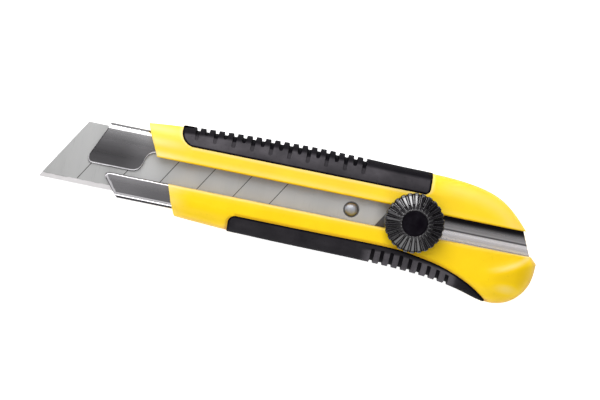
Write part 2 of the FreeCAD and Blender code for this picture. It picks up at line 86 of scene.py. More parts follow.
def buildStudio():
    # A sky that depends on the height of the direction only, lamps that face the knife, and a floor.
    world = bpy.data.worlds.new("studio")
    bpy.context.scene.world = world
    world.use_nodes = True
    tree = world.node_tree
    where = tree.nodes.new("ShaderNodeTexCoord")
    parts = tree.nodes.new("ShaderNodeSeparateXYZ")
    tree.links.new(where.outputs["Generated"], parts.inputs[0])
    fade = tree.nodes.new("ShaderNodeValToRGB")
    fade.color_ramp.interpolation = "EASE"
    stops = fade.color_ramp.elements
    stops.remove(stops[1])
    for i, (height, level) in enumerate(studio["sky"]):
        stop = stops.new(height) if i else stops[0]
        stop.color = (level, level, level, 1.0)
    tree.links.new(parts.outputs["Z"], fade.inputs["Fac"])
    tree.links.new(fade.outputs["Color"], tree.nodes["Background"].inputs["Color"])
    for name, (place, span, watts) in studio["lights"].items():
        lamp = bpy.data.lights.new(name, "AREA")
        lamp.shape = "RECTANGLE"
        lamp.size = span[0] * mm
        lamp.size_y = span[1] * mm
        lamp.energy = watts
        panel = bpy.data.objects.new(name, lamp)
        panel.location = Vector(place) * mm
        panel.rotation_euler = panel.location.to_track_quat("Z", "Y").to_euler()
        bpy.context.collection.objects.link(panel)
    floorMesh = bpy.data.meshes.new("floor")
    half = studio["floorHalf"]
    floorMesh.from_pydata([(-half, -half, 0), (half, -half, 0), (half, half, 0), (-half, half, 0)], [],
                          [(0, 1, 2, 3)])
    floor = bpy.data.objects.new("floor", floorMesh)
    bpy.context.collection.objects.link(floor)
    paper = bpy.data.materials.new("paper")
    paper.use_nodes = True
    shader = paper.node_tree.nodes["Principled BSDF"]
    shader.inputs["Base Color"].default_value = (*studio["floorColour"], 1.0)
    shader.inputs["Roughness"].default_value = studio["floorRough"]
    shader.inputs["Emission Color"].default_value = (1.0, 1.0, 1.0, 1.0)
    shader.inputs["Emission Strength"].default_value = studio["floorGlow"]
    floorMesh.materials.append(paper)
    bpy.context.scene.view_settings.view_transform = "Standard"


buildCamera()
buildStudio()
print("studio is ready")

# tones: the colours that a soft cloud mixes, and cloud its size in mm; rough: the range that a second
# cloud gives; grain: size of the fine texture in mm, with its depth in mm and its stretch along X, Y, Z;
# specks: share of dark wear; gloss: strength of the reflection; shaded and pale: the colours of painted
# shade and painted highlight at the ends of a piece's tone; ground: the blade's brighter edge and the
# painted shade in its score lines.
finishes = {
    "yellowShell": {
        "tones": [(0.88, 0.575, 0.002), (0.91, 0.605, 0.003), (0.94, 0.635, 0.004)],
        "cloud": 16.0, "rough": (0.36, 0.47), "grain": 0.35, "depth": 0.010,
        "specks": 0.03, "gloss": 0.18,
        "shaded": (0.52, 0.25, 0.004), "pale": (0.93, 0.72, 0.26)},
    "blackGrip": {
        "tones": [(0.058, 0.054, 0.060), (0.076, 0.070, 0.078), (0.096, 0.089, 0.098)],
        "cloud": 9.0, "rough": (0.48, 0.62), "grain": 0.22, "depth": 0.016,
        "specks": 0.12, "gloss": 0.012,
        "shaded": (0.0030, 0.0026, 0.0042)},
    "guideSteel": {
        "tones": [(0.70, 0.68, 0.71), (0.84, 0.82, 0.85), (0.95, 0.94, 0.96)],
        "cloud": 14.0, "rough": (0.20, 0.34), "grain": 0.12, "depth": 0.002,
        "stretch": (0.04, 1, 1), "metal": 1.0, "specks": 0.06,
        "shaded": (0.010, 0.009, 0.011)},
    "plateSteel": {
        "tones": [(0.10, 0.095, 0.10), (0.15, 0.145, 0.15), (0.20, 0.195, 0.20)],
        "cloud": 10.0, "rough": (0.26, 0.38), "grain": 0.12, "depth": 0.002,
        "stretch": (0.06, 1, 1), "metal": 1.0, "specks": 0.06},
    "bladeSteel": {
        "tones": [(0.43, 0.43, 0.43), (0.465, 0.465, 0.463), (0.50, 0.50, 0.50)],
        "cloud": 22.0, "rough": (0.34, 0.46), "grain": 0.10, "depth": 0.002,
        "stretch": (1, 0.05, 1), "metal": 1.0, "specks": 0.05, "ground": True},
    "zincSteel": {
        "tones": [(0.31, 0.33, 0.38), (0.38, 0.40, 0.45), (0.46, 0.48, 0.52)],
        "cloud": 3.0, "rough": (0.36, 0.48), "grain": 0.15, "depth": 0.003,
        "metal": 1.0, "specks": 0.10},
    "blackWheel": {
        "tones": [(0.002, 0.001, 0.003), (0.003, 0.002, 0.004), (0.005, 0.004, 0.006)],
        "cloud": 6.0, "rough": (0.10, 0.16), "grain": 0.25, "depth": 0.004,
        "specks": 0.05, "gloss": 0.8},
    "hubBlack": {
        "tones": [(0.003, 0.002, 0.004), (0.005, 0.004, 0.006), (0.008, 0.007, 0.010)],
        "cloud": 4.0, "rough": (0.34, 0.46), "grain": 0.20, "depth": 0.005,
        "specks": 0.08, "gloss": 0.02},
    "blackBlock": {
        "tones": [(0.018, 0.018, 0.020), (0.026, 0.026, 0.028), (0.034, 0.034, 0.037)],
        "cloud": 5.0, "rough": (0.42, 0.55), "grain": 0.30, "depth": 0.008,
        "specks": 0.05},
    "brass": {
        "tones": [(0.62, 0.42, 0.16), (0.72, 0.50, 0.20), (0.80, 0.58, 0.26)],
        "cloud": 3.0, "rough": (0.22, 0.34), "grain": 0.10, "depth": 0.003,
        "stretch": (1, 1, 0.1), "metal": 1.0, "specks": 0.08},
}


def cloudNode(tree, place, size, stretch, detail):
    # Noise whose features are about as wide as the size in mm, pulled out along an axis by its stretch.
    spread = tree.nodes.new("ShaderNodeMapping")
    spread.inputs["Scale"].default_value = stretch
    tree.links.new(place, spread.inputs["Vector"])
    noise = tree.nodes.new("ShaderNodeTexNoise")
    noise.inputs["Scale"].default_value = 1.0 / (size * mm)
    noise.inputs["Detail"].default_value = detail
    tree.links.new(spread.outputs["Vector"], noise.inputs["Vector"])
    return noise.outputs["Fac"]


def rangeNode(tree, value, fromRange, toRange):
    # A straight line from one range to the other, held at its ends.
    fit = tree.nodes.new("ShaderNodeMapRange")
    fit.inputs["From Min"].default_value, fit.inputs["From Max"].default_value = fromRange
    fit.inputs["To Min"].default_value, fit.inputs["To Max"].default_value = toRange
    tree.links.new(value, fit.inputs["Value"])
    return fit.outputs["Result"]


def mixNode(tree, share, low, high):
    # Low and high are sockets or plain colours.
    mix = tree.nodes.new("ShaderNodeMix")
    mix.data_type = "RGBA"
    tree.links.new(share, mix.inputs["Factor"])
    for socket, value in (("A", low), ("B", high)):
        if isinstance(value, tuple):
            mix.inputs[socket].default_value = (*value, 1.0)
        else:
            tree.links.new(value, mix.inputs[socket])
    return mix.outputs["Result"]


def paintedLightAndShade(tree, dark, colour, pale):
    # A piece's tone paints light and shade: painted shade where it is 0, the full colour at 1, and a painted
    # highlight towards 2.
    own = tree.nodes.new("ShaderNodeAttribute")
    own.attribute_name = "tone"
    lower = rangeNode(tree, own.outputs["Fac"], (0.0, 1.0), (0.0, 1.0))
    colour = mixNode(tree, lower, dark, colour)
    if pale is None:
        return colour
    return mixNode(tree, rangeNode(tree, own.outputs["Fac"], (1.0, 2.0), (0.0, 1.0)), colour, pale)


# the blade's own places in mm: its ground edge wanders a little and is painted bright, its own polished
# strip and partly a painted highlight, and its score lines are shallow and hold painted shade
groundEdge = {
    "wander": 3.0, "wanderDepth": 0.9, "from": -9.55, "to": -9.85, "bright": (1.0, 0.97, 0.98),
    "scoreTop": 8.43, "scoreFloor": 8.39, "scoreShare": 0.9, "scoreEnds": (-10.05, -9.95),
    "scoreShade": (0.03, 0.026, 0.028),
}


def paintScoreShadeAndEdge(tree, place, colour):
    # Painted shade in the score lines, which lie just under the face, and a bright ground cutting edge: its
    # own polished strip, partly a painted highlight.
    g = groundEdge
    parts = tree.nodes.new("ShaderNodeSeparateXYZ")
    tree.links.new(place, parts.inputs[0])
    wander = cloudNode(tree, place, g["wander"], (1, 1, 1), 3.0)
    edge = tree.nodes.new("ShaderNodeMath")
    edge.operation = "MULTIPLY_ADD"
    edge.inputs[1].default_value = g["wanderDepth"] * mm
    tree.links.new(wander, edge.inputs[0])
    tree.links.new(parts.outputs["Y"], edge.inputs[2])
    ground = rangeNode(tree, edge.outputs[0], (g["from"] * mm, g["to"] * mm), (0.0, 1.0))
    deep = rangeNode(tree, parts.outputs["Z"], (g["scoreTop"] * mm, g["scoreFloor"] * mm),
                     (0.0, g["scoreShare"]))
    upper = rangeNode(tree, parts.outputs["Y"], [end * mm for end in g["scoreEnds"]], (0.0, 1.0))
    score = tree.nodes.new("ShaderNodeMath")
    score.operation = "MULTIPLY"
    tree.links.new(deep, score.inputs[0])
    tree.links.new(upper, score.inputs[1])
    scored = mixNode(tree, score.outputs[0], colour, g["scoreShade"])
    return mixNode(tree, ground, scored, g["bright"])


# shared by all finishes: where the cloud's three tones lie, which noise counts as a speck and how dark
# a speck is, and how much finer than the cloud the sheen's patches are
cloudPlan = {"low": 0.34, "middle": 0.5, "high": 0.68, "speckRange": (0.62, 0.78), "speckDark": 0.45,
             "speckSize": 4, "speckGain": 4, "sheenSize": 0.35, "sheenRange": (0.3, 0.7)}


def finish(name):
    # A soft cloud of tones, darker specks of wear, a patchy sheen and a fine grain in the surface.
    look, plan = finishes[name], cloudPlan
    stretch = look.get("stretch", (1, 1, 1))
    material = bpy.data.materials.new(name)
    material.use_nodes = True
    tree = material.node_tree
    shader = tree.nodes["Principled BSDF"]
    shader.inputs["Metallic"].default_value = look.get("metal", 0.0)
    shader.inputs["Specular IOR Level"].default_value = look.get("gloss", 0.5)
    place = tree.nodes.new("ShaderNodeTexCoord").outputs["Object"]
    tone = tree.nodes.new("ShaderNodeValToRGB")
    low, middle, high = look["tones"]
    tone.color_ramp.elements[0].position = plan["low"]
    tone.color_ramp.elements[0].color = (*low, 1.0)
    tone.color_ramp.elements[1].position = plan["high"]
    tone.color_ramp.elements[1].color = (*high, 1.0)
    tone.color_ramp.elements.new(plan["middle"]).color = (*middle, 1.0)
    tree.links.new(cloudNode(tree, place, look["cloud"], stretch, 4.0), tone.inputs["Fac"])
    speck = cloudNode(tree, place, look["grain"] * plan["speckSize"], stretch, 2.0)
    speck = rangeNode(tree, speck, plan["speckRange"], (0.0, look["specks"] * plan["speckGain"]))
    colour = mixNode(tree, speck, tone.outputs["Color"], tuple(c * plan["speckDark"] for c in low))
    # painted shade and painted highlight from the piece's tone attribute
    if "shaded" in look:
        colour = paintedLightAndShade(tree, look["shaded"], colour, look.get("pale"))
    # the blade's painted shade in its score lines and its brighter ground edge, partly a painted highlight
    if look.get("ground"):
        colour = paintScoreShadeAndEdge(tree, place, colour)
    tree.links.new(colour, shader.inputs["Base Color"])
    sheen = cloudNode(tree, place, look["cloud"] * plan["sheenSize"], stretch, 5.0)
    tree.links.new(rangeNode(tree, sheen, plan["sheenRange"], look["rough"]), shader.inputs["Roughness"])
    bump = tree.nodes.new("ShaderNodeBump")
    bump.inputs["Distance"].default_value = look["depth"] * mm
    tree.links.new(cloudNode(tree, place, look["grain"], stretch, 2.0), bump.inputs["Height"])
    tree.links.new(bump.outputs["Normal"], shader.inputs["Normal"])
    return material


materials = {name: finish(name) for name in finishes}

dress = {
    "handle_body": "yellowShell", "upper_grip": "blackGrip", "lower_grip": "blackGrip",
    "blade_guide": "guideSteel", "guide_rivets": "zincSteel", "slider_plate": "plateSteel",
    "slider_block": "blackBlock", "block_rivets": "zincSteel", "blade": "bladeSteel",
    "blade_pin": "zincSteel", "lock_stud": "zincSteel", "stud_clip": "plateSteel",
    "clamp_washer": "zincSteel", "wave_washer": "plateSteel", "lock_wheel": "blackWheel",
    "thread_insert": "brass", "hub_cap": "hubBlack",
}
for name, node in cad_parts.items():
    node.data.materials.clear()
    node.data.materials.append(materials[dress[name]])
print("finishes are ready")


def cells(index):
    # The four corners of every cell in a grid of vertex numbers.
    return np.stack([index[:-1, :-1], index[1:, :-1], index[1:, 1:], index[:-1, 1:]], -1).reshape(-1, 4)


def thickSheet(outer, inner, window=None):
    # Two grids with the same rows and columns, back to back, joined by quads round all four borders.
    # A window is an opening from its row to the last one, between its first and last column, and the
    # border goes round it. Each point has x, y, z and its tone.
    rows, cols = outer.shape[:2]
    front = np.arange(rows * cols).reshape(rows, cols)
    keep = np.ones((rows - 1, cols - 1), bool)
    end = front[-1, :0:-1]
    if window:
        row, first, last = window
        keep[row:, first:last] = False
        end = np.concatenate([front[-1, :last:-1], front[:row:-1, last], front[row, last:first:-1],
                              front[row:-1, first], front[-1, first:0:-1]])
    rim = np.concatenate([front[0, :-1], front[:-1, -1], end, front[:0:-1, 0]])
    behind = rim + rows * cols
    walls = np.stack([rim, np.roll(rim, -1), np.roll(behind, -1), behind], -1)
    faces = cells(front)[keep.ravel()]
    quads = np.concatenate([faces, faces[:, ::-1] + rows * cols, walls])
    points = np.concatenate([outer.reshape(-1, 4), inner.reshape(-1, 4)])
    used, quads = np.unique(quads, return_inverse=True)
    return points[used], quads.reshape(-1, 4).tolist()


def turnedSkin(radius, height, count, centre, closed=False):
    # A profile carried round an upright axis: at angle a a point stands at (r cos a, r sin a, h).
    # Radius and height have a row for each profile point and may change with the angle.
    angle = np.arange(count) * 2 * math.pi / count
    radius = np.broadcast_to(radius, (radius.shape[0], count))
    height = np.broadcast_to(height, (height.shape[0], count))
    points = np.stack([centre[0] + radius * np.cos(angle), centre[1] + radius * np.sin(angle), height], -1)
    rows = radius.shape[0]
    index = np.arange(rows * count).reshape(rows, count)
    index = np.hstack([index, index[:, :1]])
    flat = points.reshape(-1, 3)
    if closed:
        return flat, cells(np.vstack([index, index[:1]])).tolist()
    faces = cells(index).tolist()
    for ring in (index[0], index[-1][::-1]):
        # each end is shut by a fan round a new point at the middle of its ring
        middle = len(flat)
        flat = np.vstack([flat, flat[ring[:-1]].mean(0)])
        faces += np.stack([ring[1:], ring[:-1], np.full(count, middle)], -1).tolist()
    return flat, faces


def makePiece(name, skin, material, body, nodes, sharp=38.0):
    # Millimetres to metres, with the faces turned outwards: the signed volume must come out positive.
    # A fourth number of a point is its tone, which paints light and shade into the colour.
    points, faces = skin
    tones, points = points[:, 3:], points[:, :3] * mm
    mesh = bpy.data.meshes.new(name)
    mesh.from_pydata(points.tolist(), [], faces)
    mesh.calc_loop_triangles()
    corners = np.empty(3 * len(mesh.loop_triangles), np.int32)
    mesh.loop_triangles.foreach_get("vertices", corners)
    first, second, third = points[corners.reshape(-1, 3)].transpose(1, 0, 2)
    if (first * np.cross(second, third)).sum() < 0:
        mesh.clear_geometry()
        mesh.from_pydata(points.tolist(), [], [face[::-1] for face in faces])
    if tones.size:
        mesh.attributes.new("tone", "FLOAT", "POINT").data.foreach_set("value", tones.ravel())
    mesh.polygons.foreach_set("use_smooth", np.ones(len(mesh.polygons), bool))
    mesh.set_sharp_from_angle(angle=math.radians(sharp))
    mesh.materials.append(materials[material])
    piece = bpy.data.objects.new(name, mesh)
    bpy.context.collection.objects.link(piece)
    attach(piece, body)
    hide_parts(*nodes)
    print(name, "has", len(mesh.polygons), "faces")


def spline(knots, count):
    # A natural cubic through the knots against the chord length: its second derivatives solve
    # the usual three-band system, and it is read at evenly spaced places.
    knots = np.array(knots, float)
    step = np.linalg.norm(np.diff(knots, axis=0), axis=1)
    place = np.concatenate([[0.0], np.cumsum(step)])
    i = np.arange(1, len(knots) - 1)
    bands = np.eye(len(knots))
    bands[i, i - 1], bands[i, i], bands[i, i + 1] = step[:-1], 2 * (step[:-1] + step[1:]), step[1:]
    pull = np.zeros_like(knots)
    pull[1:-1] = 6 * np.diff(np.diff(knots, axis=0) / step[:, None], axis=0)
    bend = np.linalg.solve(bands, pull)
    t = np.linspace(0.0, place[-1], count)
    k = np.clip(np.searchsorted(place, t) - 1, 0, len(knots) - 2)
    h = step[k][:, None]
    a = (place[k + 1] - t)[:, None] / h
    b = 1 - a
    curve = (a ** 3 - a) * bend[k] + (b ** 3 - b) * bend[k + 1]
    return a * knots[k] + b * knots[k + 1] + curve * h ** 2 / 6


def respace(line, share):
    # Points at given shares of a polyline's length.
    reach = np.concatenate([[0.0], np.cumsum(np.linalg.norm(np.diff(line, axis=0), axis=1))])
    return np.stack([np.interp(share * reach[-1], reach, line[:, c]) for c in (0, 1)], -1)


def outlineDistance(points, line):
    # Least distance from each point to a polyline: the foot on each segment stays between its ends.
    start, run = line[:-1], np.diff(line, axis=0)
    gap = points.reshape(-1, 1, 2) - start
    along = np.clip((gap * run).sum(-1) / (run ** 2).sum(-1), 0.0, 1.0)
    return np.linalg.norm(gap - along[..., None] * run, axis=-1).min(1).reshape(points.shape[:-1])


def roundDrop(distance, radius):
    # How far a rounded edge has dropped at a distance from the outline: r - sqrt(r^2 - (r - d)^2).
    inward = np.clip(radius - distance, 0.0, radius)
    return radius - np.sqrt(radius ** 2 - inward ** 2)


def smooth(value, low, high):
    # A soft step: zero below low, one above high, and 3t^2 - 2t^3 between them.
    t = np.clip((value - low) / (high - low), 0.0, 1.0)
    return t * t * (3 - 2 * t)


# the outline is shared by the moulding and the grips
handle = {
    "top": 17.5, "low": 0.25, "inset": 0.25, "round": 8.3, "slotHalf": 4.8, "slotRound": 0.7,
    "noseRound": 0.6, "lip": (92.3, 4.8), "mouthEnd": (96.6, -4.8), "tailMouth": (97.4, -4.6),
    "upperEdge": [(-75.0, 16.0), (-49.0, 18.6), (-18.0, 20.2), (11.0, 20.75), (43.0, 20.2),
                  (68.6, 19.05), (82.4, 14.9), (93.8, 4.8)],
    "lowerEdge": [(-65.0, -15.6), (-18.0, -18.6), (35.0, -19.4), (58.7, -20.85), (73.5, -23.6),
                  (84.4, -25.9), (92.3, -23.8), (99.0, -15.4), (100.0, -7.0)],
    "noseLine": [(-40.0, -33.9), (-15.4, -44.8), (-11.5, -46.8), (-4.8, -48.5), (4.8, -54.8), (40.0, -71.9)],
    "roomHalf": 14.4, "roomLow": 5.6, "roomHigh": 10.25,
    "roomTail": [(-14.4, 95.7), (-4.8, 96.6), (4.8, 92.3), (9.3, 87.0), (14.4, 79.3)],
    "gripDip": 1.9, "dipRise": (0.9, 2.3),
    "lobeCentre": (75.97, 14.6), "lobeRadius": 28.7, "lobeSlope": 0.20, "lobeRise": 0.85,
    "lobeStart": (77.0, 88.0), "creaseSoft": 0.6, "creaseRise": (-4.2, 0.4), "lineSteps": 260,
}
upperLine = spline(handle["upperEdge"], handle["lineSteps"])
lowerLine = np.vstack([spline(handle["lowerEdge"], handle["lineSteps"]), [handle["tailMouth"]]])


def noseX(y):
    # Where the slanted nose cuts a line along the knife, read off its polyline.
    line = np.array(handle["noseLine"])
    return np.interp(y, line[:, 0], line[:, 1])


def shifted(line, inset, inward):
    # The polyline moved sideways by the inset: the normal is the run turned a quarter towards the inside.
    run = np.gradient(line, axis=0)
    side = np.stack([-run[:, 1], run[:, 0]], -1) * inward
    return line + inset * side / np.linalg.norm(side, axis=1)[:, None]


def fromNose(line):
    # The part of an edge line behind the slanted nose, beginning exactly on it.
    ahead = line[:, 0] - noseX(line[:, 1])
    k = int(np.argmax(ahead > 0))
    share = -ahead[k - 1] / (ahead[k] - ahead[k - 1])
    return np.vstack([line[k - 1] + share * (line[k] - line[k - 1]), line[k:]])


grips = {
    "top": 17.8, "low": 0.0, "rolled": 0.6, "skin": 2.4,
    "upperFront": -47.3, "upperRear": 52.7, "upperEdge": 11.3,
    "lowerFront": -22.9, "lowerRear": 82.3,
    "lowerEdge": [(-22.9, -11.66), (20.0, -11.66), (39.0, -11.66), (45.8, -12.0), (53.7, -13.2),
                  (61.2, -14.7), (68.6, -17.2), (73.5, -19.4), (78.4, -22.3), (82.3, -25.3)],
    "toothFront": -42.0, "toothPitch": 3.7, "toothCount": 19, "toothWide": 1.5, "toothDepth": 1.25,
    "longTooth": 14.2, "shortTooth": 17.0,
    "fingerFront": 34.5, "fingerPitch": 3.8, "fingerCount": 9, "fingerWide": 1.5, "fingerDepth": 0.9,
    "fingerLow": 13.5, "fingerBend": 0.0045, "fingerBendFrom": 42.0,
    "sweepTall": 6.7, "sweepLong": 6.0, "rearRound": 2.5, "frontRound": 3.0, "edgeSteps": 200,
    "upperRim": (0.3, 1.2), "lowerRim": (1.5, 2.5), "faceDepth": 0.32, "faceRise": (16.4, 17.6),
    "narrow": 7.4, "upperBlend": (-39.4, 46.0), "lowerBlend": (-15.0, 82.0),
}


def upperGripEnds(y):
    # The front end sweeps back in a quarter ellipse down to the edge, the rear corner is a quarter circle.
    low = np.clip(y - grips["upperEdge"], 0.0, None)
    sweep = np.clip(1 - low / grips["sweepTall"], 0.0, 1.0)
    front = grips["upperFront"] + grips["sweepLong"] * (1 - np.sqrt(1 - sweep ** 2))
    rear = grips["upperRear"] - roundDrop(low, grips["rearRound"])
    return front, rear


def lowerGripEnds(y):
    # A quarter circle at the front corner and a plain rear end.
    low = np.clip(grips["lowerEdge"][0][1] - y, 0.0, None)
    front = grips["lowerFront"] + roundDrop(low, grips["frontRound"])
    return front, np.full_like(y, grips["lowerRear"])


def lowerGripEdge(x):
    # The lower grip's border against the yellow moulding, read off its curve.
    line = spline(grips["lowerEdge"], grips["edgeSteps"])
    return np.interp(x, line[:, 0], line[:, 1])


def gripInside(x, y):
    # How far inside a grip's outline a place lies, for the moulding that dips under it.
    front, rear = upperGripEnds(y)
    upper = np.minimum(y - grips["upperEdge"], np.minimum(x - front, rear - x))
    front, rear = lowerGripEnds(y)
    lower = np.minimum(lowerGripEdge(x) - y, np.minimum(x - front, rear - x))
    return np.where(y > 0, upper, lower)


def halfPlan(line, slotEnds, share, inward):
    # One rail seen from above: each row runs straight from the slot's edge to the outline, with
    # close steps at the slot's rounded edge and steps of equal turn round the outer side.
    outer = respace(fromNose(line), share)
    slot = np.array(slotEnds[0]) + share[:, None] * (np.array(slotEnds[1]) - np.array(slotEnds[0]))
    reach = np.linalg.norm(outer - slot, axis=1)
    edge = np.minimum(handle["slotRound"], 0.3 * reach)
    turn = np.minimum(handle["round"], 0.7 * reach)
    near = np.array([0.0, 0.02, 0.12, 0.3, 0.6, 1.0])[None] * edge[:, None]
    flat = np.linspace(0, 1, 15)[1:]
    middle = edge[:, None] + flat * (reach - turn - edge)[:, None]
    bend = np.sin(np.linspace(0, math.pi / 2, 18)[1:])
    # the offset from the outline is that of the full rounding at first, and ends at the turn's width
    full = handle["round"] * (1 - bend)
    side = reach[:, None] - full / (1 + full * (1 / turn - 1 / handle["round"])[:, None])
    along = np.concatenate([near, middle, side], 1)
    plan = slot[:, None] + (along / reach[:, None])[..., None] * (outer - slot)[:, None]
    run = np.gradient(outer, axis=0)
    normal = np.stack([run[:, 1], -run[:, 0]], -1) * inward
    return plan, along, normal / np.linalg.norm(normal, axis=1)[:, None]


def pastCrease(x, y):
    # How far outside the circle of the lobe's crease a place lies.
    return np.hypot(x - handle["lobeCentre"][0], y - handle["lobeCentre"][1]) - handle["lobeRadius"]


def railSkin(plan, along, normal, outline, isFront):
    # Heights over one rail's plan: the flat face less the rounded side, the nose's and slot's small
    # roundings, the lobe's slope past its crease, and the dip under the grips along the normal.
    radius = handle["round"]
    distance = outlineDistance(plan, outline)
    sine = np.clip((radius - distance) / radius, 0.0, 1.0)
    cosine = np.sqrt(1 - sine ** 2)
    x, y = plan[..., 0], plan[..., 1]
    fall = roundDrop(distance, radius)
    fall = fall + roundDrop(np.clip(x - noseX(y), 0.0, None), handle["noseRound"]) * cosine
    if isFront:
        fall = fall + roundDrop(along, handle["slotRound"])
        crease = pastCrease(x, y)
        soft = handle["creaseSoft"]
        past = np.where(crease > soft, crease - soft / 2, np.clip(crease, 0.0, None) ** 2 / (2 * soft))
        rise = handle["lobeRise"] * smooth(crease, *handle["creaseRise"])
        share = smooth(x, *handle["lobeStart"]) * (y < 0)
        fall = fall + share * (handle["lobeSlope"] * past - rise) * cosine
    dip = handle["gripDip"] * smooth(gripInside(x, y), *handle["dipRise"])
    flat = plan - (dip * sine)[..., None] * normal[:, None]
    fall = fall + dip * cosine
    height = handle["top"] - fall if isFront else handle["low"] + fall
    return np.concatenate([flat, height[..., None]], -1)


# tones of the two rails, which paint light and shade: places in mm, tones from 0, painted shade in deep
# orange, over 1, yellow, to 2, a pale painted highlight;
# a hill is (middle, width) of a bell curve, a rise is (start, end) of a soft step
railPaintedLight = {
    "rimReach": [0.0, 0.5, 1.8], "slotReach": [0.0, 0.5, 1.2, 3.0],
    "upper": {"rim": [0.62, 0.82, 1.0], "slot": [0.0, 0.1, 0.45, 0.12], "nose": 0.35, "border": 0.7,
              "under": 0.80, "bloom": 0.3},
    "lower": {"rim": [0.30, 0.55, 1.0], "slot": [0.8, 0.6, 0.1, 0.0], "nose": 0.85, "border": -0.85,
              "under": 0.0, "bloom": 0.0},
    "noseRise": (38.0, 56.0), "noseWave": 0.25, "noseTurn": 1.25, "noseStart": 0.6,
    "slotFade": (10.0, 60.0), "slotLoss": 0.7,
    "lobeRise": (79.0, 89.0), "ridge": 0.65, "ridgeHill": (-0.9, 0.9), "past": 0.16, "pastRise": (0.4, 2.4),
    "patch": 0.6, "patchAlong": (89.5, 4.5), "patchAcross": (-18.9, 2.0),
    "underRise": (0.0, 0.8), "borderHill": (-0.35, 0.55), "bloomRise": (52.0, 64.0), "bloomHill": (3.8, 2.2),
}


def hill(value, place):
    # A bell curve, one at its middle: exp(-((v - middle) / width)^2).
    return np.exp(-((value - place[0]) / place[1]) ** 2)


def paintRailLight(plan, along, outline, isUpper):
    # Painted highlights near the nose, along the slot, below the upper grip, on the lobe's ridge and a patch
    # below it, and in a band near the upper tail;
    # painted shade in a deeper orange round the rim, under the upper rail's slot edge, along the lower grip
    # and past the lobe's crease.
    t, own = railPaintedLight, railPaintedLight["upper" if isUpper else "lower"]
    x, y = plan[..., 0], plan[..., 1]
    distance = outlineDistance(plan, outline)
    rim = np.interp(distance, t["rimReach"], own["rim"])
    wave = t["noseWave"] * np.sin(np.abs(y) * t["noseTurn"] + t["noseStart"])
    nose = smooth(-x, *t["noseRise"]) * (own["nose"] + wave)
    slot = np.interp(along, t["slotReach"], own["slot"]) * (1 - smooth(x, *t["slotFade"]) * t["slotLoss"])
    crease = pastCrease(x, y)
    lobe = smooth(x, *t["lobeRise"]) * (y < 0)
    ridge = t["ridge"] * hill(crease, t["ridgeHill"]) * lobe
    past = t["past"] * smooth(crease, *t["pastRise"]) * lobe
    patch = t["patch"] * hill(x, t["patchAlong"]) * hill(y, t["patchAcross"])
    under = own["under"] * (1 - smooth(along, *t["underRise"]))
    border = own["border"] * hill(gripInside(x, y), t["borderHill"])
    bloom = own["bloom"] * smooth(x, *t["bloomRise"]) * hill(distance, t["bloomHill"])
    return rim * (1 - past) - under + nose + slot + ridge + patch + border + bloom


def buildHandle():
    # The section of the moulding is a thick C: its outer path runs from the slot over the upper
    # rail, round the side, across the back and up over the lower rail; its inner path follows the
    # guide's room. Rows of such sections follow the knife from the slanted nose to the tail.
    close = np.array([0.0, 0.0004, 0.0010, 0.0020, 0.0036, 0.0060])
    share = np.concatenate([close, np.linspace(0.0105, 0.989, 232), 1 - close[::-1]])
    upper = shifted(upperLine, handle["inset"], -1)
    lower = shifted(lowerLine, handle["inset"], 1)
    outline = np.vstack([upper, lower[::-1]])
    half = handle["slotHalf"]
    upperEnds = ((float(noseX(half)), half), handle["lip"])
    lowerEnds = ((float(noseX(-half)), -half), handle["mouthEnd"])
    rails = []
    for line, ends, inward in ((upper, upperEnds, -1), (lower, lowerEnds, 1)):
        plan, along, normal = halfPlan(line, ends, share, inward)
        rails.append((railSkin(plan, along, normal, outline, True),
                      railSkin(plan, along, normal, outline, False),
                      paintRailLight(plan, along, outline, inward < 0)))
    (upperFront, upperBack, upperTone), (lowerFront, lowerBack, lowerTone) = rails
    across = np.linspace(0, 1, 8)[1:-1]
    left, right = upperBack[:, 0, :2], lowerBack[:, 0, :2]
    middlePlan = left[:, None] + across[None, :, None] * (right - left)[:, None]
    middleFall = roundDrop(outlineDistance(middlePlan, outline), handle["round"])
    middle = np.concatenate([middlePlan, (handle["low"] + middleFall)[..., None]], -1)
    outer = np.concatenate([upperFront, upperBack[:, ::-1], middle, lowerBack, lowerFront[:, ::-1]], 1)
    # the back keeps the rails' painted shade but none of their painted highlights, and its middle is plain
    plain = np.ones(middleFall.shape)
    tone = np.concatenate([upperTone, np.minimum(upperTone[:, ::-1], 1.0), plain,
                           np.minimum(lowerTone, 1.0), lowerTone[:, ::-1]], 1)
    # the inner path, given at the columns where the outer one reaches its corners
    cols, side = outer.shape[1], upperFront.shape[1] - 1
    first, last = side - 2, side + 5
    marks = [0, first, last, 2 * side + 1]
    marks = marks + [cols - 1 - m for m in marks[::-1]]
    wide, low, high = handle["roomHalf"], handle["roomLow"], handle["roomHigh"]
    y = np.interp(np.arange(cols), marks, [half, wide, wide, half, -half, -wide, -wide, -half])
    z = np.interp(np.arange(cols), marks, [high, high, low, low, low, low, high, high])
    tail = np.array(handle["roomTail"])
    start, end = noseX(y), np.interp(y, tail[:, 0], tail[:, 1])
    x = start + share[:, None] * (end - start)
    inner = np.stack([x, np.broadcast_to(y, x.shape), np.broadcast_to(z, x.shape)], -1)
    # the room breaks out through the side where the outline runs in across it to the tail
    leaves = int(np.argmax((outer[:, side, 1] < wide) & (outer[:, side, 0] > 0)))
    # the inside of the moulding is painted a little darker, as painted shade
    skin = thickSheet(np.dstack([outer, tone]), np.dstack([inner, 0.8 + 0 * tone]), (leaves, first, last))
    makePiece("handle_shell", skin, "yellowShell", "handle", ["handle_body"], 32.0)


buildHandle()


